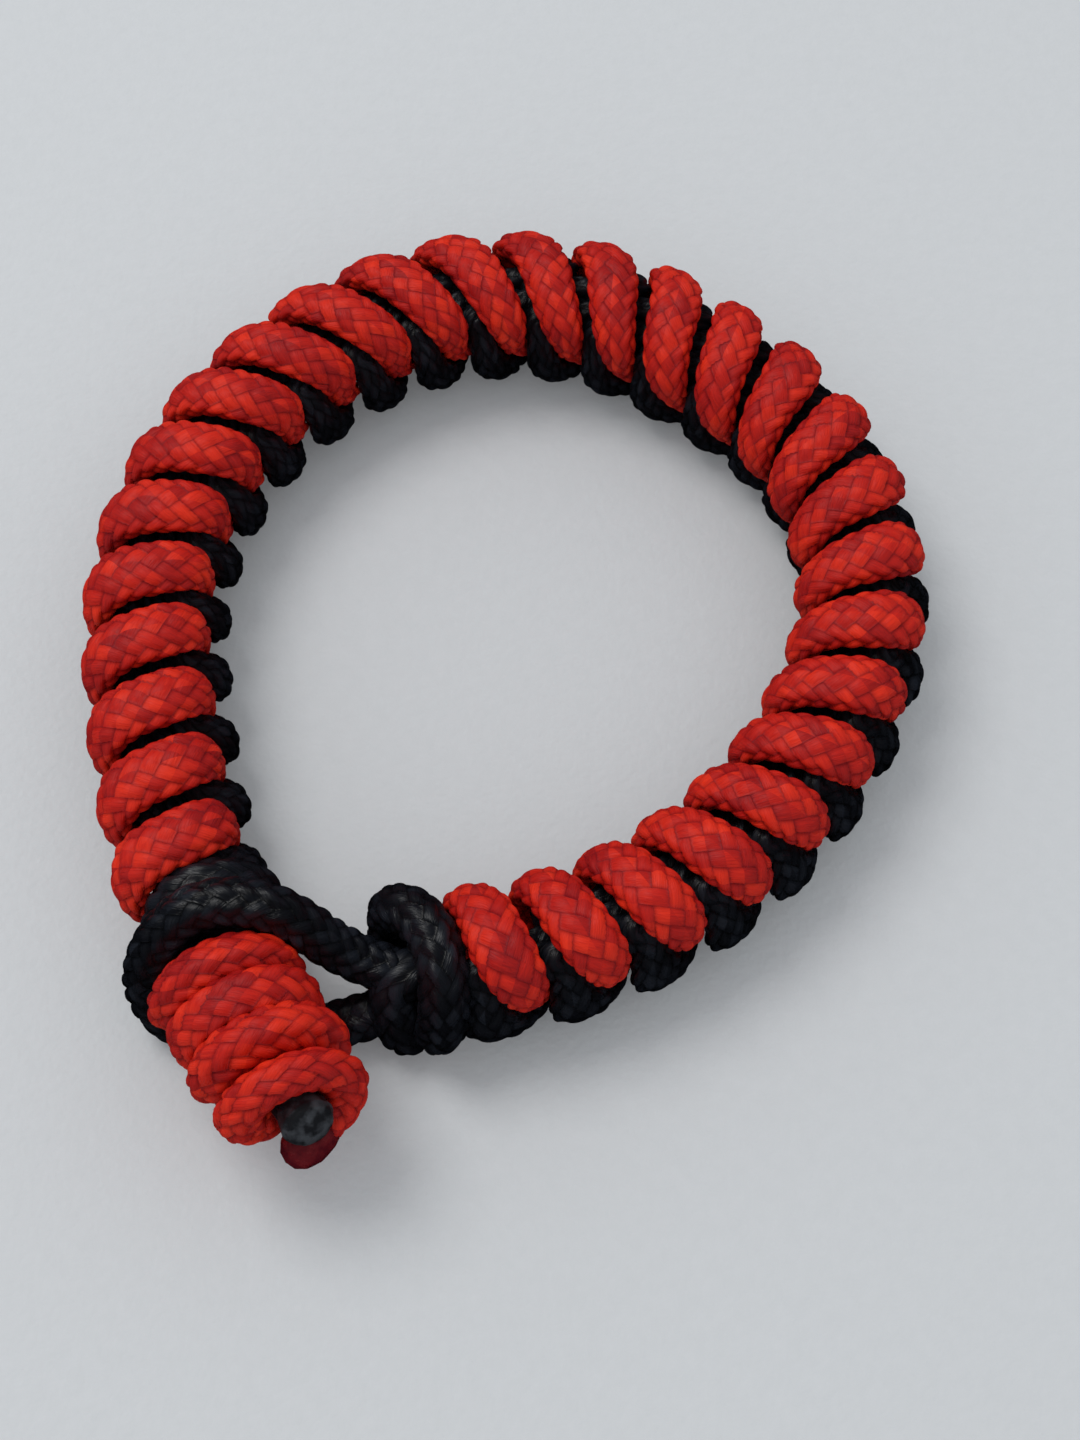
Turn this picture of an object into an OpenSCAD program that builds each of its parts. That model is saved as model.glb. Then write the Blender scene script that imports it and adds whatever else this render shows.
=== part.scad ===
// Braided bracelet made of two parachute cords, one red and one black.
// The band is a snake knot: red turns lie on the top, black turns lie underneath,
// and each cord's arms come down between the arms of the other.
// A black knot starts the band, a cord loop comes from it, and the loop passes over
// a toggle of red cord wrapped round a black core. Lengths are in millimetres.

/* [Band] */

// Full turns of each cord in the band
turn_count = 28; // [28:1:28]

// Length of band that one red turn and one black turn take
turn_pitch = 6.1; // [6.08:0.01:6.1]

// Share of its full half width that each cord of the band has
cord_fullness = 1; // [0.8:0.05:1]

/* [Closure] */

// Radius of the cord in the closing loop
loop_cord_radius = 1.85; // [1.5:0.05:1.85]

// Radius of the cord in the knot at the start of the band
base_cord_radius = 1.7; // [1.4:0.05:1.7]

// Half thickness of the cord wrapped round the toggle
wrap_half_thickness = 1.6; // [1.3:0.05:1.6]

/* [Detail] */

// Flat sides of each cord
cord_sides = 8; // [7:1:8]

/* [Hidden] */

red_colour = [0.78, 0.10, 0.07];
dark_red_colour = [0.45, 0.05, 0.06];
black_colour = [0.06, 0.06, 0.08];

// Middle height of the band above the table
band_mid_height = 6.6;

// Squeeze of the band across its width
width_squeeze = 0.87;

// Squeeze of the band in its height
height_squeeze = 0.93;

// Plan position of the first red turn, and the way that the band heads there
band_start = [-3.2, -24.1];
band_heading = 11.1;

// Middle of the whole bracelet in plan, taken off so that the origin lies under it
plan_middle = [-2.56, 1.37];

// Centre line of the band as arcs that bend to the left: length, radius
ARC_LENGTH = 0;
ARC_RADIUS = 1;
centre_arcs = [
    [39.0, 38.6],
    [31.6, 25.7],
    [9.2, 69.0],
    [23.0, 24.5],
    [42.2, 32.3],
    [60.0, 103.0]
];

// Roll of the band about its middle line: distance from the first red turn, degrees
roll_rows = [
    [0, 0],
    [60, 0],
    [85, -12],
    [110, -25],
    [130, -30]
];

// Lean of the turns back along the band: distance from the first red turn, share of
// the way outwards
lean_rows = [
    [0, 0.20],
    [60, 0.15],
    [85, 0.00],
    [110, -0.05],
    [130, 0.20],
    [165, 0.25]
];

// Stretch of the band where its turns lie looser: distance from the first red turn, how
// much further along they come
stretch_rows = [
    [0, 0],
    [95, 0],
    [125, 0.9],
    [165, 1.0]
];

// One turn of the red cord, and its way through the core to the next turn.
// along: along the band, out: from its middle line outwards, up: from mid height,
// half_width: across the cord, half_thickness: through the cord
ALONG = 0;
OUT = 1;
UP = 2;
HALF_WIDTH = 3;
HALF_THICKNESS = 4;
turn_rows = [
    [2.80, 3.30, -0.85, 1.20, 1.15],
    [2.40, 4.20, 0.55, 1.20, 1.15],
    [2.20, 4.50, 2.50, 1.55, 1.30],
    [1.60, 3.75, 4.35, 1.95, 1.40],
    [0.65, 1.90, 5.55, 2.15, 1.50],
    [-0.35, -0.40, 5.55, 2.20, 1.50],
    [-1.25, -2.75, 4.75, 2.20, 1.50],
    [-2.35, -4.55, 3.30, 2.15, 1.45],
    [-3.30, -5.25, 1.45, 1.95, 1.40],
    [-3.60, -4.50, -0.40, 1.55, 1.25],
    [-3.85, -3.20, -2.05, 1.40, 1.20],
    [-4.70, -2.10, -3.00, 1.20, 1.15],
    [-1.35, -0.70, -2.45, 1.10, 1.10],
    [2.50, 0.70, -1.65, 1.10, 1.10],
    [6.25, 2.20, -1.10, 1.10, 1.10]
];

// Knot at the start of the band, as one cord. along: from the first red turn,
// out: from the middle line outwards, up: from the table
base_rows = [
    [-6.0, 0.4, 6.8],
    [-7.2, 0.8, 7.4],
    [-8.2, 1.9, 6.4],
    [-8.0, 3.4, 4.2],
    [-7.3, 3.6, 2.1],
    [-6.9, 1.6, 1.73],
    [-7.5, -0.8, 1.73],
    [-8.5, -3.0, 2.6],
    [-8.8, -4.1, 5.0],
    [-8.5, -4.4, 7.4],
    [-7.5, -3.9, 9.4],
    [-6.0, -2.5, 10.6],
    [-4.9, -0.5, 10.9],
    [-4.4, 1.8, 10.4],
    [-4.5, 3.7, 8.6],
    [-4.7, 4.5, 6.1],
    [-5.1, 4.2, 3.8]
];

// Closing loop in plan position and height: upper leg, bend round the toggle's neck,
// the way under the toggle, lower leg
X = 0;
Y = 1;
Z = 2;
loop_rows = [
    [-12.8, -24.9, 7.6],
    [-14.2, -24.5, 8.2],
    [-16.2, -23.9, 9.7],
    [-18.2, -23.1, 11.6],
    [-20.1, -22.5, 13.0],
    [-22.3, -22.1, 13.5],
    [-24.5, -22.1, 13.6],
    [-26.9, -22.7, 12.9],
    [-29.3, -24.0, 10.3],
    [-30.6, -25.2, 7.0],
    [-30.4, -26.4, 3.8],
    [-29.0, -27.5, 2.0],
    [-26.2, -28.4, 1.95],
    [-22.6, -28.8, 1.95],
    [-18.9, -28.5, 1.95],
    [-15.7, -27.8, 2.2],
    [-13.3, -27.4, 3.1]
];

// Barrel of the toggle: middle of its near end, plan angle, rise, wraps
barrel_start = [-26.1, -24.3, 9.2];
barrel_turn = -58;
barrel_rise = 8;
wrap_count = 4;
wrap_pitch = 3.65;
wrap_half_width = 1.76;
wrap_end_angle = -70;
wrap_steps_per_turn = 12;
wrap_first_height = 1.7;

// Width of the barrel as a share of its height
barrel_breadth = 1.08;

// Distance of the wrapped cord from the barrel's axis: share of the barrel, distance
SHARE = 0;
DISTANCE = 1;
barrel_profile = [
    [0.00, 3.60],
    [0.15, 3.95],
    [0.60, 3.95],
    [1.00, 3.60]
];

// Red cord on its way from the band into the wraps, from the last red turn
wrap_lead_rows = [
    [2.5, -1.6, 4.4],
    [5.0, -1.6, 4.0],
    [7.2, -2.6, 4.3]
];

// Black cord that goes round the end of the band and then into the barrel
core_lead_rows = [
    [5.2, 0.8, 1.9],
    [4.9, 2.1, 3.2],
    [4.6, 2.7, 5.4],
    [3.4, 2.2, 8.2],
    [2.8, 0.6, 10.0],
    [2.6, -1.2, 10.6],
    [2.9, -3.3, 9.8],
    [3.3, -4.7, 8.0],
    [4.3, -4.8, 6.9],
    [5.6, -4.1, 7.3]
];

// Black cord inside the barrel: thinner on its way in, thicker where its end shows
core_lead_radius = 1.6;
core_end_radius = 1.75;
core_lead_inside = 2;
core_step = 2.8;
core_length = 16.8;

// Melted end of the red cord: share of its length, share of its full radius
red_end_length = 3.0;
red_end_gap = 0.15;
red_end_profile = [
    [0.00, 0.85],
    [0.25, 1.00],
    [0.60, 1.02],
    [0.85, 0.80],
    [1.00, 0.45]
];

// Rounded height of a cut end, as a share of the cord's half thickness
cap_share = 0.25;

closure_steps = 2;

// State at the start of arc i of the centre line: x, y, heading
function arc_start(i) =
    i == 0
    ? [band_start[X], band_start[Y], band_heading]
    : along_arc(arc_start(i - 1), centre_arcs[i - 1][ARC_RADIUS], centre_arcs[i - 1][ARC_LENGTH]);

// State after a length along an arc that bends to the left
function along_arc(start, radius, length) =
    let (turned = start[2] + length / radius * 180 / PI)
    [
        start[X] + radius * (sin(turned) - sin(start[2])),
        start[Y] - radius * (cos(turned) - cos(start[2])),
        turned
    ];

arc_starts = [for (i = [0 : len(centre_arcs) - 1]) arc_start(i)];

// State of the centre line at a distance from the first red turn
function centre_state(distance, i = 0) =
    distance > centre_arcs[i][ARC_LENGTH] && i < len(centre_arcs) - 1
    ? centre_state(distance - centre_arcs[i][ARC_LENGTH], i + 1)
    : along_arc(arc_starts[i], centre_arcs[i][ARC_RADIUS], distance);

// Point beside the centre line: distance along it, outwards, height
function beside_band(along, out, height) =
    let (state = centre_state(along))
    [
        state[X] + out * sin(state[2]) - plan_middle[X],
        state[Y] - out * cos(state[2]) - plan_middle[Y],
        height
    ];

// Point of the straight knot, rolled, stretched, leaned, squeezed and bent onto the
// centre line
function knot_to_band(p) =
    let (
        roll = lookup(p[ALONG], roll_rows),
        out = p[OUT] * cos(roll) - p[UP] * sin(roll),
        up = p[OUT] * sin(roll) + p[UP] * cos(roll)
    )
    beside_band(
        p[ALONG] + lookup(p[ALONG], stretch_rows) - lookup(p[ALONG], lean_rows) * out,
        width_squeeze * out,
        height_squeeze * up + band_mid_height
    );

function unit(v) = v / norm(v);

// Part of v that is square to the unit vector t, as a unit vector
function square_to(v, t) = unit(v - (v * t) * t);

// Row of the endless red cord; the table repeats once a turn
function knot_row(k) =
    let (
        count = len(turn_rows),
        turn = floor(k / count),
        row = turn_rows[k - turn * count]
    )
    [row[ALONG] + turn * turn_pitch, row[OUT], row[UP], row[HALF_WIDTH], row[HALF_THICKNESS]];

function place(row) = [row[0], row[1], row[2]];

// Half turn about the middle line of the band, half a pitch on: red to black
function other_cord(p) = [p[ALONG] + turn_pitch / 2, -p[OUT], -p[UP]];

// Ring of points round row k of the cord, still straight
function knot_ring(k) =
    let (
        row = knot_row(k),
        middle = place(row),
        tangent = unit(place(knot_row(k + 1)) - place(knot_row(k - 1))),
        radial = square_to([0, row[OUT], row[UP]], tangent),
        sideways = cross(tangent, radial)
    )
    [
        for (j = [0 : cord_sides - 1])
        let (angle = j * 360 / cord_sides)
        middle
        + cord_fullness * row[HALF_THICKNESS] * cos(angle) * radial
        + cord_fullness * row[HALF_WIDTH] * sin(angle) * sideways
    ];

// End point of a strand, a little past the last row
function knot_tip(k, way) =
    let (row = knot_row(k))
    place(row)
    + way * cap_share * row[HALF_THICKNESS] * unit(place(knot_row(k + 1)) - place(knot_row(k - 1)));

first_row = -1;
red_last_row = turn_count * len(turn_rows) - 3;
black_last_row = (turn_count - 1) * len(turn_rows) - 3;

// Solid through rings of points, closed by a low cone over each end
module skin(rings, start_tip, end_tip, mirrored) {
    count = len(rings);
    start_index = count * cord_sides;
    end_index = start_index + 1;
    points = concat([for (ring = rings) for (p = ring) p], [start_tip, end_tip]);
    sides = [
        for (i = [0 : count - 2])
        for (j = [0 : cord_sides - 1])
        let (
            next = (j + 1) % cord_sides,
            a = i * cord_sides + j,
            b = i * cord_sides + next,
            c = (i + 1) * cord_sides + next,
            d = (i + 1) * cord_sides + j
        )
        for (face = [[a, d, c], [a, c, b]]) face
    ];
    start_cap = [
        for (j = [0 : cord_sides - 1])
        [start_index, j, (j + 1) % cord_sides]
    ];
    end_cap = [
        for (j = [0 : cord_sides - 1])
        [
            end_index,
            (count - 1) * cord_sides + (j + 1) % cord_sides,
            (count - 1) * cord_sides + j
        ]
    ];
    faces = concat(sides, start_cap, end_cap);
    polyhedron(
        points = points,
        faces = mirrored ? [for (f = faces) [f[0], f[2], f[1]]] : faces,
        convexity = 10
    );
}

// Smooth curve through rows, with a number of steps from each row to the next
function smooth(rows, steps) = [
    for (i = [0 : len(rows) - 2])
    for (s = [0 : (i == len(rows) - 2 ? steps : steps - 1)])
    let (
        t = s / steps,
        p0 = rows[max(i - 1, 0)],
        p1 = rows[i],
        p2 = rows[i + 1],
        p3 = rows[min(i + 2, len(rows) - 1)]
    )
    0.5 * (
        2 * p1
        + (p2 - p0) * t
        + (2 * p0 - 5 * p1 + 4 * p2 - p3) * t * t
        + (3 * p1 - p0 - 3 * p2 + p3) * t * t * t
    )
];

function path_tangent(path, i) =
    unit(path[min(i + 1, len(path) - 1)] - path[max(i - 1, 0)]);

// Direction across the path at each point, carried on without twist
function carried(path, i, last) =
    i == 0
    ? square_to(last, path_tangent(path, 0))
    : square_to(last, path_tangent(path, i));
function path_normals(path, first) = [
    for (
        i = 0, v = carried(path, 0, first);
        i < len(path);
        i = i + 1, v = i < len(path) ? carried(path, i, v) : v
    )
    v
];

// Cord along a path, with its half sizes across and along the carried direction
module cord(path, half_widths, half_thicknesses, first) {
    normals = path_normals(path, first);
    last = len(path) - 1;
    rings = [
        for (i = [0 : last])
        let (
            tangent = path_tangent(path, i),
            radial = normals[i],
            sideways = cross(tangent, radial)
        )
        [
            for (j = [0 : cord_sides - 1])
            let (angle = j * 360 / cord_sides)
            path[i]
            + half_thicknesses[i] * cos(angle) * radial
            + half_widths[i] * sin(angle) * sideways
        ]
    ];
    skin(
        rings,
        path[0] - cap_share * half_thicknesses[0] * path_tangent(path, 0),
        path[last] + cap_share * half_thicknesses[last] * path_tangent(path, last),
        false
    );
}

// Cord of one radius along a path
module round_cord(path, radius) {
    sizes = [for (p = path) radius];
    cord(path, sizes, sizes, [0, 0, 1]);
}

function off_middle(p) = [p[X] - plan_middle[X], p[Y] - plan_middle[Y], p[Z]];

// Directions of the barrel: along its axis, sideways, and square to both
barrel_axis = [
    cos(barrel_rise) * cos(barrel_turn),
    cos(barrel_rise) * sin(barrel_turn),
    sin(barrel_rise)
];
barrel_side = [-sin(barrel_turn), cos(barrel_turn), 0];
barrel_up = cross(barrel_axis, barrel_side);
barrel_origin = off_middle(barrel_start);
barrel_length = wrap_count * wrap_pitch;

// Point of the barrel at a height along the axis, a distance from it and an angle
function barrel_point(height, distance, angle) =
    barrel_origin
    + height * barrel_axis
    + distance * (barrel_breadth * cos(angle) * barrel_side + sin(angle) * barrel_up);

function profile_distance(share) = lookup(share, barrel_profile);

// Middle of the wrapped cord at a share of the wraps; the wraps are left-handed
function wrap_point(share) =
    barrel_point(
        wrap_first_height + share * barrel_length,
        profile_distance(share),
        wrap_end_angle + (1 - share) * wrap_count * 360
    );

wrap_steps = wrap_count * wrap_steps_per_turn;
last_turn_straight = (turn_count - 1) * turn_pitch;
last_turn_along = last_turn_straight + lookup(last_turn_straight, stretch_rows);

wrap_path = concat(
    smooth(
        concat(
            [for (r = wrap_lead_rows) beside_band(last_turn_along + r[ALONG], r[OUT], r[UP])],
            [wrap_point(0)]
        ),
        closure_steps
    ),
    [for (i = [1 : wrap_steps]) wrap_point(i / wrap_steps)]
);

core_path = smooth(
    concat(
        [for (r = core_lead_rows) beside_band(last_turn_along + r[ALONG], r[OUT], r[UP])],
        [
            for (h = [0 : core_step : core_length])
            barrel_point(h, 0, 0)
        ]
    ),
    closure_steps
);

// Direction of the wrapped cord where it ends
wrap_last_way = unit(wrap_point(1) - wrap_point(1 - 1 / wrap_steps));

module red_strand() {
    color(red_colour)
    skin(
        [for (k = [first_row : red_last_row]) [for (p = knot_ring(k)) knot_to_band(p)]],
        knot_to_band(knot_tip(first_row, -1)),
        knot_to_band(knot_tip(red_last_row, 1)),
        true
    );
}

module black_strand() {
    color(black_colour)
    skin(
        [
            for (k = [first_row : black_last_row])
            [for (p = knot_ring(k)) knot_to_band(other_cord(p))]
        ],
        knot_to_band(other_cord(knot_tip(first_row, -1))),
        knot_to_band(other_cord(knot_tip(black_last_row, 1))),
        true
    );
}

module base_knot() {
    color(black_colour)
    round_cord(
        smooth([for (r = base_rows) beside_band(r[ALONG], r[OUT], r[UP])], closure_steps),
        base_cord_radius
    );
}

module closing_loop() {
    color(black_colour)
    round_cord(smooth([for (r = loop_rows) off_middle(r)], closure_steps), loop_cord_radius);
}

module toggle_wrap() {
    color(red_colour)
    cord(
        wrap_path,
        [for (p = wrap_path) wrap_half_width],
        [for (p = wrap_path) wrap_half_thickness],
        barrel_side
    );
}

module toggle_core() {
    lead_points = (len(core_lead_rows) + core_lead_inside) * closure_steps;
    sizes = [for (i = [0 : len(core_path) - 1]) i < lead_points ? core_lead_radius : core_end_radius];
    color(black_colour)
    cord(core_path, sizes, sizes, [0, 0, 1]);
}

module red_end() {
    start = wrap_point(1) + (red_end_gap + 2 * cap_share * wrap_half_thickness) * wrap_last_way;
    path = [for (r = red_end_profile) start + r[SHARE] * red_end_length * wrap_last_way];
    sizes = [for (r = red_end_profile) r[1] * wrap_half_thickness];
    color(dark_red_colour)
    cord(path, sizes, sizes, barrel_axis);
}

red_strand();
black_strand();
base_knot();
closing_loop();
toggle_wrap();
toggle_core();
red_end();
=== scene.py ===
import math

import bpy
import numpy as np
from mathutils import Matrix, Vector


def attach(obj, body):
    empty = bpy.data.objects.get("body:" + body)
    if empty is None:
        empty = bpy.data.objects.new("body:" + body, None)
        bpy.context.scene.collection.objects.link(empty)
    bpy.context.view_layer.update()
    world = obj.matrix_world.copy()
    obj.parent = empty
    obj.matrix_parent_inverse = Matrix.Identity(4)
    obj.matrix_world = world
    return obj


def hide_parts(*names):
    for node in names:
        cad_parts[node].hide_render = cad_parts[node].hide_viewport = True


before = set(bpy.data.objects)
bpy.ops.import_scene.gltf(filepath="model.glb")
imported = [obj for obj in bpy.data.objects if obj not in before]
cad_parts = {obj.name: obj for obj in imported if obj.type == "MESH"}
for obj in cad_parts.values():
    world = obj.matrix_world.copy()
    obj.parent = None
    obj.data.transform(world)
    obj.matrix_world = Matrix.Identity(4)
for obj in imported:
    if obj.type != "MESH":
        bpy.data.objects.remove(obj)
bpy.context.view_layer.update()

MM = 0.001
scene = bpy.context.scene

# camera, in metres and degrees
IMAGE_MIDDLE = Vector((0.00256, -0.00137, 0.0))
CAMERA_DISTANCE = 0.2044
CAMERA_RISE = 64

rise = math.radians(CAMERA_RISE)
camera_data = bpy.data.cameras.new("camera")
camera_data.sensor_fit = "VERTICAL"
camera_data.sensor_height = 36
camera_data.lens = 60
camera_data.clip_start = 0.01
camera_data.clip_end = 20
camera = bpy.data.objects.new("camera", camera_data)
camera.location = IMAGE_MIDDLE + CAMERA_DISTANCE * Vector((0, -math.cos(rise), math.sin(rise)))
camera.rotation_euler = (math.radians(90) - rise, 0, 0)
scene.collection.objects.link(camera)
scene.camera = camera

# band, in mm and degrees, with the names and values of the part's source
BAND_MID_HEIGHT = 6.6
WIDTH_SQUEEZE = 0.87
HEIGHT_SQUEEZE = 0.93
TURN_PITCH = 6.1
TURN_COUNT = 28
BAND_START = (-3.2, -24.1)
BAND_HEADING = 11.1

# middle of the whole bracelet in plan, taken off so that the origin lies under it
PLAN_MIDDLE = np.array([-2.56, 1.37, 0])

# centre line of the band as arcs that bend to the left: length, radius
CENTRE_ARCS = [(39, 38.6), (31.6, 25.7), (9.2, 69), (23, 24.5), (42.2, 32.3), (60, 103)]

# roll of the band about its middle line: distance from the first red turn, degrees
ROLL_ROWS = [(0, 0), (60, 0), (85, -12), (110, -25), (130, -30)]

# lean of the turns back along the band: distance, share of the way outwards
LEAN_ROWS = [(0, 0.2), (60, 0.15), (85, 0), (110, -0.05), (130, 0.2), (165, 0.25)]

# stretch of the band where its turns lie looser: distance, how much further along
STRETCH_ROWS = [(0, 0), (95, 0), (125, 0.9), (165, 1)]

# one turn of the red cord, and its way inside the knot to the next turn
ALONG, OUT, UP, HALF_WIDTH, HALF_THICKNESS = range(5)
TURN_ROWS = np.array([
    (2.8, 3.3, -0.85, 1.2, 1.15), (2.4, 4.2, 0.55, 1.2, 1.15), (2.2, 4.5, 2.5, 1.55, 1.3),
    (1.6, 3.75, 4.35, 1.95, 1.4), (0.65, 1.9, 5.55, 2.15, 1.5),
    (-0.35, -0.4, 5.55, 2.2, 1.5), (-1.25, -2.75, 4.75, 2.2, 1.5),
    (-2.35, -4.55, 3.3, 2.15, 1.45), (-3.3, -5.25, 1.45, 1.95, 1.4),
    (-3.6, -4.5, -0.4, 1.55, 1.25), (-3.85, -3.2, -2.05, 1.4, 1.2),
    (-4.7, -2.1, -3, 1.2, 1.15), (-1.35, -0.7, -2.45, 1.1, 1.1),
    (2.5, 0.7, -1.65, 1.1, 1.1), (6.25, 2.2, -1.1, 1.1, 1.1),
])

# first and last rows of the strands, which leave out the last rows of their last turn, and the
# row where the scene parts each of them in two
ROWS_LEFT_OUT = 3
FIRST_ROW = -1
RED_LAST_ROW = TURN_COUNT * len(TURN_ROWS) - ROWS_LEFT_OUT
BLACK_LAST_ROW = (TURN_COUNT - 1) * len(TURN_ROWS) - ROWS_LEFT_OUT
HALF_WAY_ROW = TURN_COUNT // 2 * len(TURN_ROWS) - ROWS_LEFT_OUT

# knot at the start of the band: along, out, height
BASE_ROWS = np.array([
    (-6, 0.4, 6.8), (-7.2, 0.8, 7.4), (-8.2, 1.9, 6.4), (-8, 3.4, 4.2), (-7.3, 3.6, 2.1),
    (-6.9, 1.6, 1.73), (-7.5, -0.8, 1.73), (-8.5, -3, 2.6), (-8.8, -4.1, 5),
    (-8.5, -4.4, 7.4), (-7.5, -3.9, 9.4), (-6, -2.5, 10.6), (-4.9, -0.5, 10.9),
    (-4.4, 1.8, 10.4), (-4.5, 3.7, 8.6), (-4.7, 4.5, 6.1), (-5.1, 4.2, 3.8),
])
BASE_RADIUS = 1.7

# closing loop: plan position and height
LOOP_ROWS = np.array([
    (-12.8, -24.9, 7.6), (-14.2, -24.5, 8.2), (-16.2, -23.9, 9.7), (-18.2, -23.1, 11.6),
    (-20.1, -22.5, 13), (-22.3, -22.1, 13.5), (-24.5, -22.1, 13.6), (-26.9, -22.7, 12.9),
    (-29.3, -24, 10.3), (-30.6, -25.2, 7), (-30.4, -26.4, 3.8), (-29, -27.5, 2),
    (-26.2, -28.4, 1.95), (-22.6, -28.8, 1.95), (-18.9, -28.5, 1.95), (-15.7, -27.8, 2.2),
    (-13.3, -27.4, 3.1),
])
LOOP_RADIUS = 1.85

# barrel of the toggle, with its left-handed wraps; profile: share of the barrel, distance
BARREL_START = np.array([-26.1, -24.3, 9.2])
BARREL_TURN = -58
BARREL_RISE = 8
BARREL_BREADTH = 1.08
BARREL_PROFILE = [(0, 3.6), (0.15, 3.95), (0.6, 3.95), (1, 3.6)]
WRAP_COUNT = 4
WRAP_PITCH = 3.65
WRAP_HALF_WIDTH = 1.76
WRAP_HALF_THICKNESS = 1.6
WRAP_END_ANGLE = -70
WRAP_FIRST_HEIGHT = 1.7
WRAP_STEPS_PER_TURN = 12

# red cord on its way into the wraps, from the last red turn: along, out, height
WRAP_LEAD_ROWS = np.array([(2.5, -1.6, 4.4), (5, -1.6, 4), (7.2, -2.6, 4.3)])

# black cord round the end of the band and then into the barrel: along, out, height
CORE_LEAD_ROWS = np.array([
    (5.2, 0.8, 1.9), (4.9, 2.1, 3.2), (4.6, 2.7, 5.4), (3.4, 2.2, 8.2), (2.8, 0.6, 10),
    (2.6, -1.2, 10.6), (2.9, -3.3, 9.8), (3.3, -4.7, 8), (4.3, -4.8, 6.9), (5.6, -4.1, 7.3),
])
CORE_LEAD_RADIUS = 1.6
CORE_END_RADIUS = 1.75
CORE_LEAD_INSIDE = 2
CORE_STEP = 2.8
CORE_LENGTH = 16.8

# melted end of the red cord; profile: share of its length, share of its full radius
RED_END_LENGTH = 3.0
RED_END_GAP = 0.15
RED_END_PROFILE = [(0, 0.85), (0.25, 1), (0.6, 1.02), (0.85, 0.8), (1, 0.45)]

# rounded height of a cut end, as a share of the cord's half thickness
CAP_SHARE = 0.25

# from here to the melted ends is what the scene's cords have beyond the plain solids
# knot and core a little fuller, the core most in its first rows, which close a gap to the band
KNOT_SWELL = 0.15
CORE_START_ROWS = 5
CORE_START_SWELL = 0.45

# least half size of the band's black cord, for its thin runs inside the knot
LEAST_BLACK_SIZE = 1.4

# loop's ends carried on inside the knot at the start of the band: plan position and height
LOOP_IN = (-11.5, -25.2, 7.2)
LOOP_OUT = (-12.0, -27.2, 3.6)

# wraps that are wider, the last of them drawn tighter, with a narrow tail; the thinning is how
# much half thickness that wrap loses for each mm that it is tighter
WRAP_SWELL = 0.10
WRAP_TIGHTENING = 0.25
WRAP_THINNING = 0.8
WRAP_TAIL_SHARE = 0.04
WRAP_TAIL_NARROWING = 0.35
WRAP_ROWS_PER_TURN = 16

# melted plug over the core's cut end; profile: share of its length, radius
PLUG_START = 15.4
PLUG_LENGTH = 2.7
PLUG_LIFT = 0.45
PLUG_PROFILE = [(0, 1.7), (0.35, 2.0), (0.65, 2.1), (0.85, 1.8), (0.95, 1.3), (1, 0.8)]
PLUG_RINGS = 28
PLUG_RELIEF = 0.10

# red melted end that starts inside the last wrap and bends towards the barrel's axis
MELT_OVERLAP = 1.2
MELT_BEND = 0.9
MELT_FULLNESS = 1.12
MELT_BREADTH = 1.08
MELT_RINGS = 32
MELT_RELIEF = 0.04

# power of a cord's section: 2 is an ellipse, and a higher one is squarer
ROUND = 2.0
KNOT_SECTION = 2.3
WRAP_SECTION = 2.8

# braid of the cord: 16 carriers, each over two and under two; crossing and relief in mm
CARRIERS = 16
CROSSING = 0.80
RELIEF = 0.42

# its mesh: points round a ring, and rings
COLUMNS = 48
RINGS_PER_CROSSING = 3
BRAID_STEP = CROSSING / RINGS_PER_CROSSING

# form of a yarn: powers of its section and of its arch over two others, and how much of its
# height each gives; the middle height is the cord's own size
CROWN_POWER = 2.4
ARCH_POWER = 2.2
CROWN_SHARE = 0.25
ARCH_SHARE = 0.35
DOME_SHARE = 0.40
MIDDLE_HEIGHT = 0.6

# curves: places to a row where a length is measured, and the reach of a tangent in rows
PLACES_PER_ROW = 16
TANGENT_REACH = 0.45


# vectors and tables
def unit(v):
    return v / np.linalg.norm(v, axis=-1, keepdims=True)


def square_to(v, t):
    """Part of v that is square to the unit vector t, as a unit vector."""
    return unit(v - (v * t).sum(-1, keepdims=True) * t)


def lookup(place, rows):
    """Value at a place from a table of places and values, with straight lines between them."""
    places, values = np.transpose(rows)
    return np.interp(place, places, values)


# curves
def off_middle(points):
    """Points moved in plan so that the origin lies under the bracelet's middle."""
    return points - PLAN_MIDDLE


def along_arc(state, radius, length):
    """Plan position and heading after a length along an arc that bends to the left."""
    x, y, heading = state
    turned = heading + length / radius
    return np.stack([
        x + radius * (np.sin(turned) - np.sin(heading)),
        y - radius * (np.cos(turned) - np.cos(heading)),
        turned,
    ])


def centre_state(distance):
    """Plan position and heading of the band's centre line at distances along it."""
    state = (*BAND_START, math.radians(BAND_HEADING))
    found = np.zeros((3, *distance.shape))
    begun = 0
    for i, (length, radius) in enumerate(CENTRE_ARCS):
        here = (distance > begun) | (i == 0)
        found = np.where(here, along_arc(state, radius, distance - begun), found)
        state = along_arc(state, radius, length)
        begun += length
    return found


def beside_band(along, out, height):
    """Points at distances along the band's centre line, outwards from it, and up."""
    x, y, heading = centre_state(along)
    return off_middle(np.stack([x + out * np.sin(heading), y - out * np.cos(heading), height], -1))


def knot_to_band(p):
    """Points of the straight knot, rolled, stretched, leaned, squeezed and bent."""
    along = p[:, ALONG]
    roll = np.radians(lookup(along, ROLL_ROWS))
    out = p[:, OUT] * np.cos(roll) - p[:, UP] * np.sin(roll)
    up = p[:, OUT] * np.sin(roll) + p[:, UP] * np.cos(roll)
    return beside_band(
        along + lookup(along, STRETCH_ROWS) - lookup(along, LEAN_ROWS) * out,
        WIDTH_SQUEEZE * out,
        HEIGHT_SQUEEZE * up + BAND_MID_HEIGHT,
    )


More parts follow.
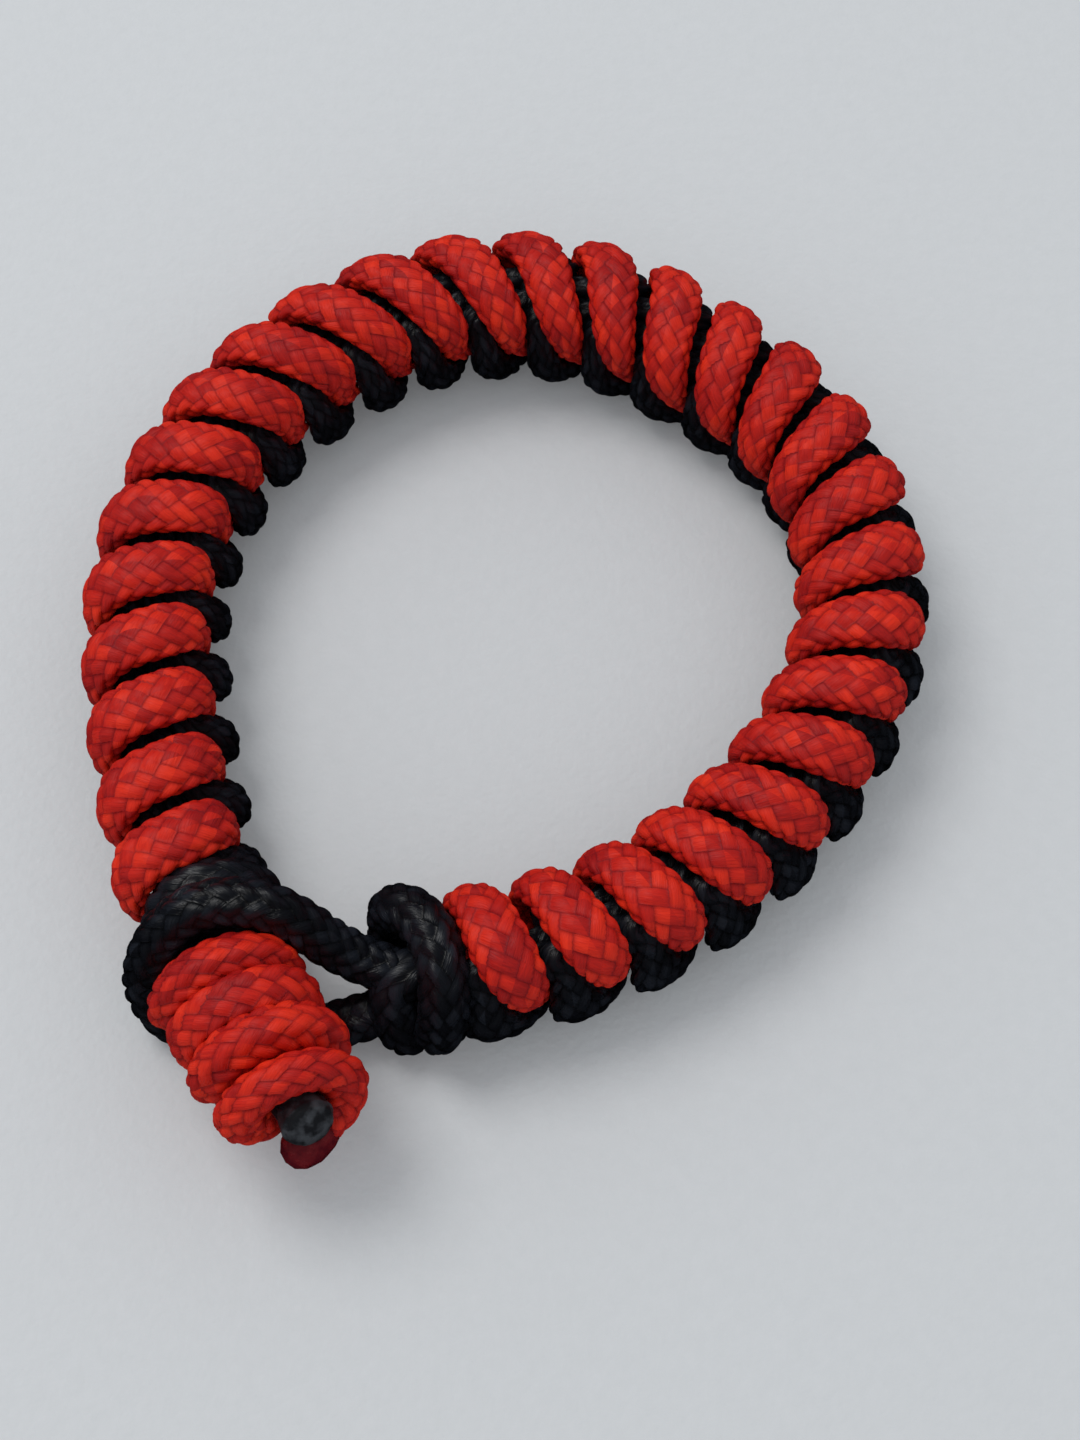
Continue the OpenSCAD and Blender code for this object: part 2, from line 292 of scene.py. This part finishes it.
def other_cord_to_band(p):
    """Red to black: a half turn about the band's middle line, half a pitch on."""
    return knot_to_band(p * [1, -1, -1] + [TURN_PITCH / 2, 0, 0])


def along_curve(rows, where):
    """Catmull-Rom curve through rows, at places counted in rows from the first."""
    where = np.clip(where, 0, len(rows) - 1)
    i = np.minimum(np.floor(where).astype(int), len(rows) - 2)
    t = (where - i)[:, None]
    p0 = rows[np.maximum(i - 1, 0)]
    p1 = rows[i]
    p2 = rows[i + 1]
    p3 = rows[np.minimum(i + 2, len(rows) - 1)]
    return 0.5 * (
        2 * p1
        + (p2 - p0) * t
        + (2 * p0 - 5 * p1 + 4 * p2 - p3) * t * t
        + (3 * p1 - p0 - 3 * p2 + p3) * t * t * t
    )


def even_places(rows, first, last, finish=None):
    """Places from row first to row last that lie a braid step apart on the finished curve."""
    fine = np.linspace(first, last, (last - first) * PLACES_PER_ROW + 1)
    points = along_curve(rows, fine)[:, :3]
    if finish:
        points = finish(points)
    length = np.cumsum(np.linalg.norm(np.diff(points, axis=0, prepend=points[:1]), axis=1))
    count = round(length[-1] / BRAID_STEP) + 1
    return np.interp(np.linspace(0, length[-1], count), length, fine)


def braid_lengths(places):
    """Lengths along the braid at even places."""
    return np.arange(len(places)) * BRAID_STEP


def carried_frames(path, first):
    """Two directions across a path at each of its points, carried on without twist."""
    tangents = unit(np.gradient(path, axis=0))
    radial = [first]
    for tangent in tangents:
        radial.append(square_to(radial[-1], tangent))
    radial = np.array(radial[1:])
    return radial, np.cross(tangents, radial)


# braid
def braid_cell(u, v):
    """Place across and along the yarn on top, at u crossings around the cord and v along it.

    Yarns of one set run along right and those of the other along left. Each passes over two
    and under two. Across goes from -0.5 to 0.5, and along from -1 to 1 over the part on top.
    """
    right = (v + u) / 2
    left = (v - u) / 2
    right_crossing = np.floor(right + 0.5)
    left_crossing = np.floor(left + 0.5)
    past_right = right - right_crossing
    past_left = left - left_crossing
    order = np.mod(right_crossing - left_crossing, 4)
    right_on_top = order < 2
    across = np.where(right_on_top, past_left, past_right)
    along = np.where(right_on_top, order + past_right - 0.5, order - past_left - 2.5)
    return across, along


def braid_height(u, v):
    """Height of the braid's surface, from 0 at the edge of a yarn to 1 on its top."""
    across, along = braid_cell(u, v)
    crown = 1 - np.abs(2 * across) ** CROWN_POWER
    arch = 1 - np.abs(along) ** ARCH_POWER
    dome = np.sqrt(np.maximum(crown * arch, 0))
    return CROWN_SHARE * crown + ARCH_SHARE * arch + DOME_SHARE * dome


def tube_faces(v):
    """Corners of a tube's quads between rings and of the fans at its ends, ring i at v[i].

    Returns the corners face by face, how many each face has, and their places in the braid.
    """
    rings = len(v)
    i, j = np.meshgrid(np.arange(rings - 1), np.arange(COLUMNS), indexing="ij")
    here = i * COLUMNS
    ahead = (i + 1) * COLUMNS
    following = (j + 1) % COLUMNS
    faces = [np.stack([here + j, here + following, ahead + following, ahead + j], -1)]
    u_places = [np.stack([j, j + 1, j + 1, j], -1)]
    v_places = [np.stack([v[i], v[i], v[i + 1], v[i + 1]], -1)]

    j = np.arange(COLUMNS)
    for ring, tip, sides, away in (
        (0, rings * COLUMNS, (j + 1, j), -0.5),
        (rings - 1, rings * COLUMNS + 1, (j, j + 1), 0.5),
    ):
        rim = [ring * COLUMNS + side % COLUMNS for side in sides]
        faces.append(np.stack([np.full(COLUMNS, tip), *rim], -1))
        u_places.append(np.stack([j + 0.5, *sides], -1))
        v_places.append(np.full((COLUMNS, 3), v[ring]) + [away, 0, 0])

    corners, around, lengthwise = (
        np.concatenate([part.ravel() for part in parts]) for parts in (faces, u_places, v_places)
    )
    counts = np.concatenate([np.full(part.size // part.shape[-1], part.shape[-1]) for part in faces])
    return corners, counts, np.stack([around / COLUMNS, lengthwise / CARRIERS], -1)


def smooth_mesh(name, points, corners, counts, braid_places):
    """Mesh of points in metres, with the braid's places as its texture coordinates."""
    mesh = bpy.data.meshes.new(name)
    mesh.vertices.add(len(points))
    mesh.vertices.foreach_set("co", points.astype(np.float32).ravel())
    mesh.loops.add(len(corners))
    mesh.loops.foreach_set("vertex_index", corners.astype(np.int32))
    mesh.polygons.add(len(counts))
    mesh.polygons.foreach_set("loop_start", (np.cumsum(counts) - counts).astype(np.int32))
    mesh.polygons.foreach_set("use_smooth", np.ones(len(counts), bool))
    mesh.update(calc_edges=True)
    layer = mesh.uv_layers.new(name="braid")
    layer.data.foreach_set("uv", braid_places.astype(np.float32).ravel())
    mesh.validate()
    return mesh


def tube(name, middles, lengths, directions, half_width, half_thickness,
         finish=None, relief=RELIEF, section=ROUND):
    """Braided cord round middles at lengths along it, all in mm, as an object in metres."""
    u = np.arange(COLUMNS) * CARRIERS / COLUMNS
    v = lengths / CROSSING
    angle = u * 2 * math.pi / CARRIERS
    c = np.cos(angle)[None, :, None]
    s = np.sin(angle)[None, :, None]
    radial, sideways = (direction[:, None, :] for direction in directions)
    wide = half_width[:, None, None]
    thick = half_thickness[:, None, None]
    reach = (np.abs(c) ** section + np.abs(s) ** section) ** (-1 / section)
    normal = unit(c / thick * radial + s / wide * sideways)
    height = braid_height(u[None, :], v[:, None])[:, :, None]
    points = middles[:, None, :] + reach * (thick * c * radial + wide * s * sideways)
    points = points + (height - MIDDLE_HEIGHT) * relief * normal

    tangent = unit(np.gradient(middles, axis=0))
    start = middles[0] - CAP_SHARE * half_thickness[0] * tangent[0]
    end = middles[-1] + CAP_SHARE * half_thickness[-1] * tangent[-1]
    points = np.concatenate([points.reshape(-1, 3), [start, end]])
    if finish:
        points = finish(points)

    # a cord that lies on the table is pressed flat there
    points[:, 2] = np.maximum(points[:, 2], 0.0)

    mesh = smooth_mesh(name, points * MM, *tube_faces(v))

    # out points to the right of the band's way, so the bend onto the band has turned its faces
    if not finish:
        mesh.flip_normals()
    obj = bpy.data.objects.new(name, mesh)
    scene.collection.objects.link(obj)
    return obj


# materials
# fineness of a cord's filaments across and along a yarn, and its lumps of tone to a metre
FILAMENTS_ACROSS = 14
FILAMENTS_ALONG = 1.1
TONE_LUMPS = 240.0

# how much of a cord's tone comes from its lumps, its filaments and each crossing's own tone
LUMP_SHARE = 0.4
FILAMENT_SHARE = 0.3
CROSSING_SHARE = 0.3
TONE_STOPS = (0.25, 0.5, 0.78)

# factors that give neighbouring crossings different numbers
LEFT_CROSSING_FACTOR = 3.7
RIGHT_CROSSING_FACTOR = 1.9

# grooves between yarns: powers of their sides and ends, share of the sides, and how strongly painted
# shade darkens them
GROOVE_SIDE_POWER = 6
GROOVE_END_POWER = 7
GROOVE_SIDE_SHARE = 0.5
GROOVE_PAINTED_SHADE = 0.6

# fine relief of a cord's surface: heights of its filaments and yarns, and their measure in mm
FILAMENT_HEIGHT = 0.7
YARN_HEIGHT = 0.8
FINE_RELIEF = 0.12
FINE_RELIEF_STRENGTH = 0.8
ROUGHNESS_SPREAD = 0.2

# melted nylon: lumps to a metre, stops of its tone, spread of its roughness, relief in mm
MELT_LUMPS = 900.0
MELT_STOPS = (0.42, 0.62)
MELT_ROUGHNESS_SPREAD = 0.25
MELT_FINE_RELIEF = 0.2
MELT_FINE_RELIEF_STRENGTH = 0.6

# sockets of a mix node that are for colours
MIX_FACTOR = 0
MIX_FIRST = 6
MIX_SECOND = 7
MIX_RESULT = 2


class Value:
    """Output of a shader node, which can be reckoned with like a number."""

    def __init__(self, net, socket):
        self.net = net
        self.socket = socket

    def __add__(self, other):
        return self.net.math("ADD", self, other)

    def __radd__(self, other):
        return self.net.math("ADD", other, self)

    def __sub__(self, other):
        return self.net.math("SUBTRACT", self, other)

    def __rsub__(self, other):
        return self.net.math("SUBTRACT", other, self)

    def __mul__(self, other):
        return self.net.math("MULTIPLY", self, other)

    def __pow__(self, power):
        return self.net.math("POWER", self, power)

    def __abs__(self):
        return self.net.math("ABSOLUTE", self)


class Net:
    """Shader nodes of one material, and the ways to add and join them."""

    def __init__(self, name):
        self.material = bpy.data.materials.new(name)
        self.material.use_nodes = True
        self.tree = self.material.node_tree
        self.shader = self.tree.nodes["Principled BSDF"]

    def node(self, kind, **settings):
        made = self.tree.nodes.new(kind)
        for key, value in settings.items():
            setattr(made, key, value)
        return made

    def join(self, source, target):
        """Give an input a value from another node, a colour or a number."""
        if isinstance(source, Value):
            self.tree.links.new(source.socket, target)
        elif isinstance(source, tuple):
            target.default_value = (*source, 1)
        else:
            target.default_value = source

    def joined(self, made, sources, output=0):
        """Output of a node, once its inputs have been given their values."""
        for key, source in sources.items():
            self.join(source, made.inputs[key])
        return Value(self, made.outputs[output])

    def math(self, operation, *sources):
        made = self.node("ShaderNodeMath", operation=operation)
        return self.joined(made, dict(enumerate(sources)))

    def ramp(self, value, stops):
        made = self.node("ShaderNodeValToRGB")
        elements = made.color_ramp.elements
        while len(elements) < len(stops):
            elements.new(0.5)
        for element, (place, colour) in zip(elements, stops):
            element.position = place
            element.color = (*colour, 1)
        return self.joined(made, {"Fac": value})

    def noise(self, scale, detail, vector):
        made = self.node("ShaderNodeTexNoise")
        return self.joined(made, {"Scale": scale, "Detail": detail, "Vector": vector}, "Fac")

    def lumps(self, per_metre, detail):
        """Noise at the object's own places, with so many lumps to a metre."""
        coordinates = self.joined(self.node("ShaderNodeTexCoord"), {}, "Object")
        return self.noise(per_metre, detail, coordinates)

    def mix(self, factor, first, second):
        made = self.node("ShaderNodeMix", data_type="RGBA")
        sources = {MIX_FACTOR: factor, MIX_FIRST: first, MIX_SECOND: second}
        return self.joined(made, sources, MIX_RESULT)

    def bump(self, height, strength, distance):
        made = self.node("ShaderNodeBump")
        normal = self.joined(made, {"Height": height, "Strength": strength, "Distance": distance})
        self.join(normal, self.shader.inputs["Normal"])


def braid_shading(net):
    """What braid_cell gives, as shader values, and a number of its own for each crossing."""
    braid_places = net.joined(net.node("ShaderNodeUVMap", uv_map="braid"), {})
    split = net.node("ShaderNodeSeparateXYZ")
    net.join(braid_places, split.inputs[0])
    u = Value(net, split.outputs["X"]) * CARRIERS
    v = Value(net, split.outputs["Y"]) * CARRIERS
    right = (v + u) * 0.5
    left = (v - u) * 0.5
    right_crossing = net.math("FLOOR", right + 0.5)
    left_crossing = net.math("FLOOR", left + 0.5)
    past_right = right - right_crossing
    past_left = left - left_crossing
    order = net.math("FLOORED_MODULO", right_crossing - left_crossing, 4)
    right_on_top = net.math("LESS_THAN", order, 1.5)
    left_on_top = 1 - right_on_top
    across = right_on_top * past_left + left_on_top * past_right
    along_right = order + past_right - 0.5
    along_left = order - past_left - 2.5
    along = right_on_top * along_right + left_on_top * along_left
    crossing_number = left_crossing * LEFT_CROSSING_FACTOR + right_crossing * RIGHT_CROSSING_FACTOR
    return across, along, crossing_number


def cord_material(name, tones, groove_shade_colour, roughness, specular):
    """Braided nylon with filaments along its yarns, painted shade in the grooves between them and an
    uneven tone.
    """
    net = Net(name)
    across, along, crossing_number = braid_shading(net)
    sides = abs(across * 2) ** GROOVE_SIDE_POWER
    ends = abs(along) ** GROOVE_END_POWER
    groove = net.math("MINIMUM", sides * GROOVE_SIDE_SHARE + ends, 1)

    place = net.joined(net.node("ShaderNodeCombineXYZ"), {
        "X": across * FILAMENTS_ACROSS,
        "Y": along * FILAMENTS_ALONG,
        "Z": crossing_number,
    })
    filaments = net.noise(scale=1.0, detail=2.0, vector=place)
    own_tone = net.joined(
        net.node("ShaderNodeTexWhiteNoise", noise_dimensions="1D"), {"W": crossing_number},
    )
    tone = net.lumps(TONE_LUMPS, detail=2.0) * LUMP_SHARE + (
        filaments * FILAMENT_SHARE + own_tone * CROSSING_SHARE
    )
    colour = net.ramp(tone, list(zip(TONE_STOPS, tones)))
    # painted shade: the grooves between yarns are darkened towards the groove colour, as shade falls
    # in them
    colour = net.mix(groove * GROOVE_PAINTED_SHADE, colour, groove_shade_colour)
    net.join(colour, net.shader.inputs["Base Color"])
    net.join(
        roughness - ROUGHNESS_SPREAD / 2 + filaments * ROUGHNESS_SPREAD,
        net.shader.inputs["Roughness"],
    )
    net.shader.inputs["Specular IOR Level"].default_value = specular
    fine_height = filaments * FILAMENT_HEIGHT + (1 - groove) * YARN_HEIGHT
    net.bump(fine_height, FINE_RELIEF_STRENGTH, FINE_RELIEF * MM)
    net.material.diffuse_color = (*tones[1], 1)
    return net.material


def melted_material(name, dark, light, roughness):
    """Nylon that has melted and set again, with small lumps."""
    net = Net(name)
    lumps = net.lumps(MELT_LUMPS, detail=4.0)
    colour = net.ramp(lumps, list(zip(MELT_STOPS, (dark, light))))
    net.join(colour, net.shader.inputs["Base Color"])
    net.join(roughness + lumps * MELT_ROUGHNESS_SPREAD, net.shader.inputs["Roughness"])
    net.shader.inputs["Specular IOR Level"].default_value = 0.4
    net.bump(lumps, MELT_FINE_RELIEF_STRENGTH, MELT_FINE_RELIEF * MM)
    net.material.diffuse_color = (*dark, 1)
    return net.material


red = cord_material(
    "red_nylon",
    tones=[(0.28, 0.004, 0.006), (0.55, 0.011, 0.005), (0.86, 0.034, 0.008)],
    # deep purple-red of the painted shade in the grooves
    groove_shade_colour=(0.15, 0.002, 0.009),
    roughness=0.48,
    specular=0.20,
)
black = cord_material(
    "black_nylon",
    tones=[(0.003, 0.0034, 0.0055), (0.007, 0.0085, 0.013), (0.017, 0.021, 0.031)],
    # near black of the painted shade in the grooves
    groove_shade_colour=(0.0006, 0.0006, 0.0009),
    roughness=0.36,
    specular=0.42,
)
melted_red = melted_material(
    "melted_red", dark=(0.085, 0.004, 0.009), light=(0.15, 0.007, 0.011), roughness=0.12,
)
melted_black = melted_material(
    "melted_black", dark=(0.012, 0.013, 0.017), light=(0.055, 0.06, 0.07), roughness=0.4,
)


def dress(obj, material, node):
    """Put an object on the part's body in place of a plain solid."""
    obj.data.materials.append(material)
    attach(obj, "root")
    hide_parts(node)


# the two strands of the band
def knot_row(k):
    """Row k of the endless red cord, whose table repeats once a turn."""
    turn, row = divmod(k, len(TURN_ROWS))
    return TURN_ROWS[row] + [turn * TURN_PITCH, 0, 0, 0, 0]


def strand(node, last_row, finish, least_size, material):
    """A strand as two braided cords that meet at the half-way row."""
    row_before = FIRST_ROW - 1
    rows = np.array([knot_row(k) for k in range(row_before, last_row + 2)])
    halves = ((FIRST_ROW, HALF_WAY_ROW), (HALF_WAY_ROW, last_row))
    for number, (begin, end) in enumerate(halves, 1):
        places = even_places(rows, begin - row_before, end - row_before, finish)
        at = along_curve(rows, places)
        middles = at[:, :3]
        ahead = along_curve(rows, places + TANGENT_REACH)[:, :3]
        behind = along_curve(rows, places - TANGENT_REACH)[:, :3]
        tangent = unit(ahead - behind)
        radial = square_to(middles * [0, 1, 1], tangent)
        half = tube(
            f"{node}_braid_{number}", middles, braid_lengths(places),
            (radial, np.cross(tangent, radial)),
            np.maximum(at[:, HALF_WIDTH], least_size),
            np.maximum(at[:, HALF_THICKNESS], least_size),
            finish=finish,
        )
        dress(half, material, node)


strand("red_strand", RED_LAST_ROW, knot_to_band, 0, red)
strand("black_strand", BLACK_LAST_ROW, other_cord_to_band, LEAST_BLACK_SIZE, black)


# closure
def cord_along(node, rows, half_width, half_thickness, first, material, section=ROUND):
    """Braided cord along a curve through rows, with half sizes for each row or for all."""
    places = even_places(rows, 0, len(rows) - 1)
    path = along_curve(rows, places)
    row_numbers = np.arange(len(rows))
    sizes = [
        np.interp(places, row_numbers, np.broadcast_to(size, len(rows)))
        for size in (half_width, half_thickness)
    ]
    cord = tube(
        f"{node}_braid", path, braid_lengths(places), carried_frames(path, first), *sizes,
        section=section,
    )
    dress(cord, material, node)


up = np.array([0, 0, 1])
base_radius = BASE_RADIUS + KNOT_SWELL
cord_along(
    "base_knot", beside_band(*BASE_ROWS.T), base_radius, base_radius,
    up, black, section=KNOT_SECTION,
)
cord_along(
    "closing_loop", off_middle(np.concatenate([[LOOP_IN], LOOP_ROWS, [LOOP_OUT]])),
    LOOP_RADIUS, LOOP_RADIUS, up, black,
)

# directions of the barrel: along its axis, sideways, and square to both
turn = math.radians(BARREL_TURN)
tilt = math.radians(BARREL_RISE)
barrel_axis = np.array([
    math.cos(tilt) * math.cos(turn),
    math.cos(tilt) * math.sin(turn),
    math.sin(tilt),
])
barrel_side = np.array([-math.sin(turn), math.cos(turn), 0])
barrel_up = np.cross(barrel_axis, barrel_side)
barrel_origin = off_middle(BARREL_START)
barrel_length = WRAP_COUNT * WRAP_PITCH
last_turn_straight = (TURN_COUNT - 1) * TURN_PITCH
last_turn_along = last_turn_straight + lookup(last_turn_straight, STRETCH_ROWS)


def from_last_turn(rows):
    """Points given by their way along the band from the last red turn, outwards and up."""
    along, out, height = rows.T
    return beside_band(last_turn_along + along, out, height)


def barrel_point(height, distance=0.0, angle=0.0):
    """Points at heights along the barrel's axis, distances from it and angles round it."""
    height, distance, angle = np.broadcast_arrays(height, distance, np.radians(angle))
    c = BARREL_BREADTH * np.cos(angle)[..., None]
    s = np.sin(angle)[..., None]
    return (
        barrel_origin
        + height[..., None] * barrel_axis
        + distance[..., None] * (c * barrel_side + s * barrel_up)
    )


def wrap_point(share):
    """Middle of the wrapped cord at shares of the wraps, as in the solid."""
    return barrel_point(
        WRAP_FIRST_HEIGHT + share * barrel_length,
        lookup(share, BARREL_PROFILE),
        WRAP_END_ANGLE + (1 - share) * WRAP_COUNT * 360,
    )


def tightening(share):
    """How much closer to the axis the last wrap is drawn."""
    return np.interp(share, [1 - 1 / WRAP_COUNT, 1], [0, WRAP_TIGHTENING])


def drawn_wrap_point(share):
    """Middle of the wrapped cord with its last turn drawn tighter."""
    point = wrap_point(share)
    away = unit(point - barrel_point(WRAP_FIRST_HEIGHT + share * barrel_length))
    return point - tightening(share)[..., None] * away


wrap_lead = from_last_turn(WRAP_LEAD_ROWS)
wrap_shares = np.linspace(0, 1, WRAP_COUNT * WRAP_ROWS_PER_TURN + 1)
row_shares = np.concatenate([np.zeros(len(wrap_lead)), wrap_shares])
narrowing = np.interp(row_shares, [1 - WRAP_TAIL_SHARE, 1], [0, WRAP_TAIL_NARROWING])
cord_along(
    "toggle_wrap", np.concatenate([wrap_lead, drawn_wrap_point(wrap_shares)]),
    WRAP_HALF_WIDTH + WRAP_SWELL - narrowing,
    WRAP_HALF_THICKNESS - WRAP_THINNING * tightening(row_shares),
    barrel_side, red, section=WRAP_SECTION,
)

core_heights = np.arange(round(CORE_LENGTH / CORE_STEP) + 1) * CORE_STEP
core_rows = np.concatenate([from_last_turn(CORE_LEAD_ROWS), barrel_point(core_heights)])
core_sizes = np.full(len(core_rows), CORE_END_RADIUS)
core_sizes[:len(CORE_LEAD_ROWS) + CORE_LEAD_INSIDE] = CORE_LEAD_RADIUS + KNOT_SWELL
core_sizes[:CORE_START_ROWS] += CORE_START_SWELL
cord_along("toggle_core", core_rows, core_sizes, core_sizes, up, black)


def core_end_melt():
    """Melted plug on the cut end of the core, which rises a little at its tip."""
    shares = np.linspace(0, 1, PLUG_RINGS)
    path = barrel_point(PLUG_START + shares * PLUG_LENGTH)
    path = path + PLUG_LIFT * (shares ** 2)[:, None] * barrel_up
    sizes = lookup(shares, PLUG_PROFILE)
    plug = tube(
        "core_end_melt", path, shares * PLUG_LENGTH, carried_frames(path, barrel_up),
        sizes, sizes, relief=PLUG_RELIEF,
    )
    dress(plug, melted_black, "toggle_core")


def red_end_melt():
    """Melted end of the red cord, which goes on from the last wrap and bends inwards."""
    way = unit(wrap_point(1) - wrap_point(1 - 1 / (WRAP_COUNT * WRAP_STEPS_PER_TURN)))
    start = drawn_wrap_point(1) + (RED_END_GAP + 2 * CAP_SHARE * WRAP_HALF_THICKNESS) * way
    shares = np.linspace(0, 1, MELT_RINGS)
    path = start + (shares[:, None] * (RED_END_LENGTH + MELT_OVERLAP) - MELT_OVERLAP) * way
    inwards = unit(barrel_point(WRAP_FIRST_HEIGHT + barrel_length) - path[0])
    path = path + MELT_BEND * (shares ** 2)[:, None] * inwards
    sizes = MELT_FULLNESS * WRAP_HALF_THICKNESS * lookup(shares, RED_END_PROFILE)
    melt = tube(
        "red_end_melt", path, shares * RED_END_LENGTH, carried_frames(path, barrel_axis),
        MELT_BREADTH * sizes, sizes, relief=MELT_RELIEF,
    )
    dress(melt, melted_red, "red_end")


core_end_melt()
red_end_melt()

# table top under the bracelet: reach in metres, colours of its grain, lumps to a metre, and a faint
# painted glow that lifts its shadows
TABLE_REACH = 1.5
TABLE_TONES = [(0.3, (0.545, 0.562, 0.578)), (0.7, (0.560, 0.576, 0.593))]
TABLE_GRAINS = 700.0
TABLE_PEBBLES = 1500.0
TABLE_PAINTED_GLOW = 0.07

table = Net("table")
grain = table.lumps(TABLE_GRAINS, detail=3.0)
table.join(table.ramp(grain, TABLE_TONES), table.shader.inputs["Base Color"])
# painted light: the table glows faintly though it is no lamp, which lifts the shadows on it and
# lights the cords from below
table.shader.inputs["Emission Color"].default_value = (0.96, 0.98, 1.0, 1)
table.shader.inputs["Emission Strength"].default_value = TABLE_PAINTED_GLOW
table.shader.inputs["Roughness"].default_value = 0.6
table.shader.inputs["Specular IOR Level"].default_value = 0.2
table.bump(table.lumps(TABLE_PEBBLES, detail=1.0), strength=0.25, distance=0.2 * MM)
table_corners = [
    (x * TABLE_REACH, y * TABLE_REACH, 0)
    for x, y in ((-1, -1), (1, -1), (1, 1), (-1, 1))
]
floor_mesh = bpy.data.meshes.new("floor")
floor_mesh.from_pydata(table_corners, [], [(0, 1, 2, 3)])
floor = bpy.data.objects.new("floor", floor_mesh)
floor.data.materials.append(table.material)
scene.collection.objects.link(floor)

# even light from all sides
SKY_STRENGTH = 0.68

world = bpy.data.worlds.new("world")
scene.world = world
world.use_nodes = True
background = world.node_tree.nodes["Background"]
background.inputs["Color"].default_value = (0.94, 0.97, 1.0, 1)
background.inputs["Strength"].default_value = SKY_STRENGTH

# neither the table nor the even light shows in glossy reflections, so the black cord stays deep
floor.visible_glossy = False
world.cycles_visibility.glossy = False

# window light that shines on the origin, in metres and watts
WINDOW_PLACE = Vector((-0.38, 0.30, 0.85))
WINDOW_SIZE = 0.5
WINDOW_POWER = 3.6

window_data = bpy.data.lights.new("window", "AREA")
window_data.shape = "DISK"
window_data.size = WINDOW_SIZE
window_data.energy = WINDOW_POWER
window_data.color = (1.0, 0.99, 0.97)
window = bpy.data.objects.new("window", window_data)
window.location = WINDOW_PLACE
window.rotation_euler = (-WINDOW_PLACE).to_track_quat("-Z", "Y").to_euler()
scene.collection.objects.link(window)

# colours are shown as they are, without the look of a film
scene.view_settings.view_transform = "Standard"
scene.view_settings.look = "None"
